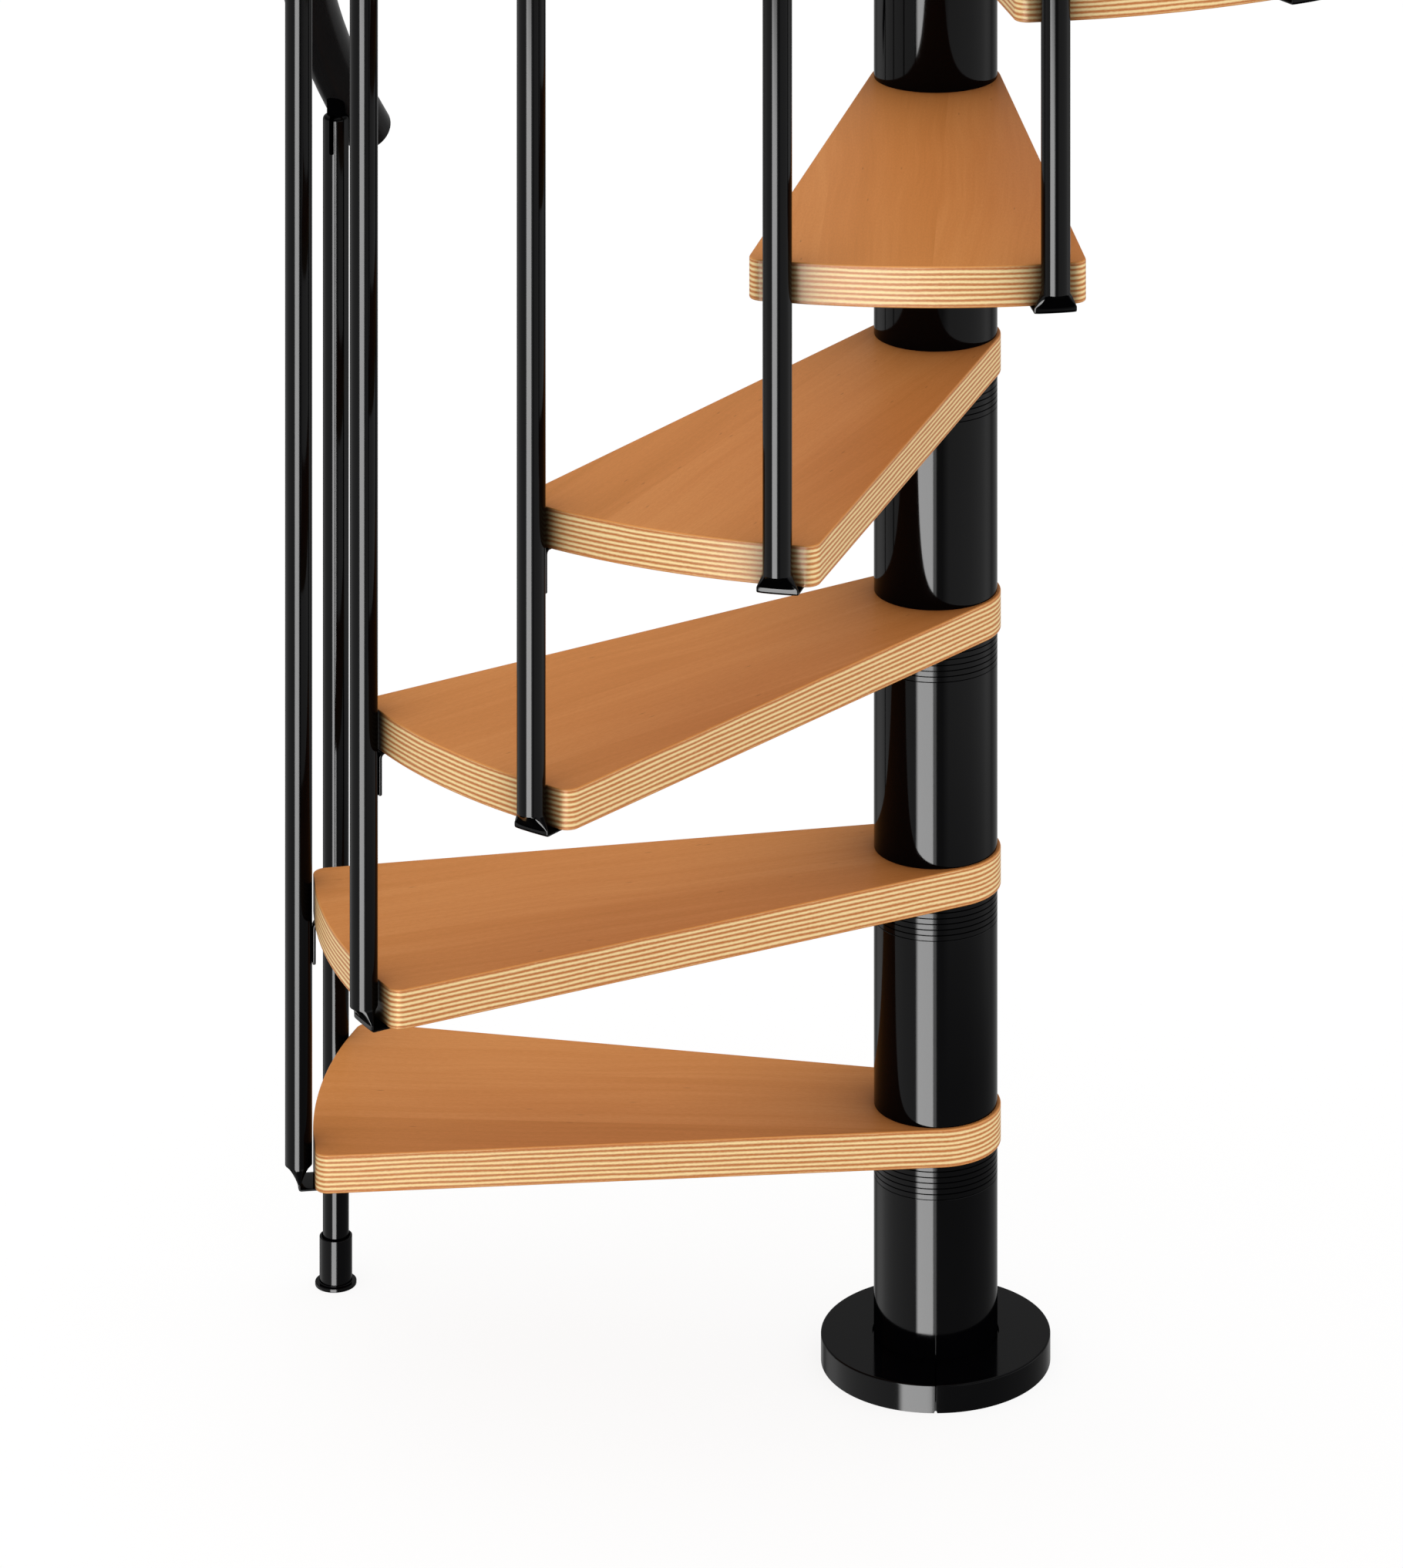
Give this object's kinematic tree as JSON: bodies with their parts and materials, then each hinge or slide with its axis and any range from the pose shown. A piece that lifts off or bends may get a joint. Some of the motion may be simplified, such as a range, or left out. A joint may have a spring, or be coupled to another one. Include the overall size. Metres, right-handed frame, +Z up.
{
  "type": "spiral staircase",
  "caption": "Spiral staircase with plywood winder treads clamped on a black tube column, round balusters with flattened feet and a round helical handrail.",
  "frame": {"origin": "on the floor, at the centre of the base plate's underside, on the column's axis", "axes": "+Z up along the column; +X to the right and +Y away from the viewer in the front view, where the first tread points along -X and the fifth towards -Y"},
  "size_m": [1.1845, 1.1272, 3.7369],
  "materials": {
    "column_metal": "gloss",
    "post_metal": "gloss",
    "ring_plastic": "satin",
    "base_plastic": "gloss",
    "rail_plastic": "satin",
    "tread_wood": "satin"
  },
  "bodies": {
    "root": {"base_plate": "column_metal", "base_cover": "base_plastic", "spacer_rings": "ring_plastic", "column_cap": "base_plastic", "newel_post": "post_metal", "newel_foot": "base_plastic", "tread_brackets": "post_metal", "rail_joints": "ring_plastic", "handrail": "rail_plastic", "rail_end_caps": "rail_plastic", "column_tube_01": "column_metal", "tread_01": "tread_wood", "baluster_01": "post_metal", "column_tube_02": "column_metal", "tread_02": "tread_wood", "baluster_02": "post_metal", "column_tube_03": "column_metal", "tread_03": "tread_wood", "baluster_03": "post_metal", "column_tube_04": "column_metal", "tread_04": "tread_wood", "baluster_04": "post_metal", "column_tube_05": "column_metal", "tread_05": "tread_wood", "baluster_05": "post_metal", "column_tube_06": "column_metal", "tread_06": "tread_wood", "baluster_06": "post_metal", "column_tube_07": "column_metal", "tread_07": "tread_wood", "baluster_07": "post_metal", "column_tube_08": "column_metal", "tread_08": "tread_wood", "baluster_08": "post_metal", "column_tube_09": "column_metal", "tread_09": "tread_wood", "baluster_09": "post_metal", "column_tube_10": "column_metal", "tread_10": "tread_wood", "baluster_10": "post_metal", "column_tube_11": "column_metal", "tread_11": "tread_wood", "baluster_11": "post_metal"}
  },
  "joints": []
}
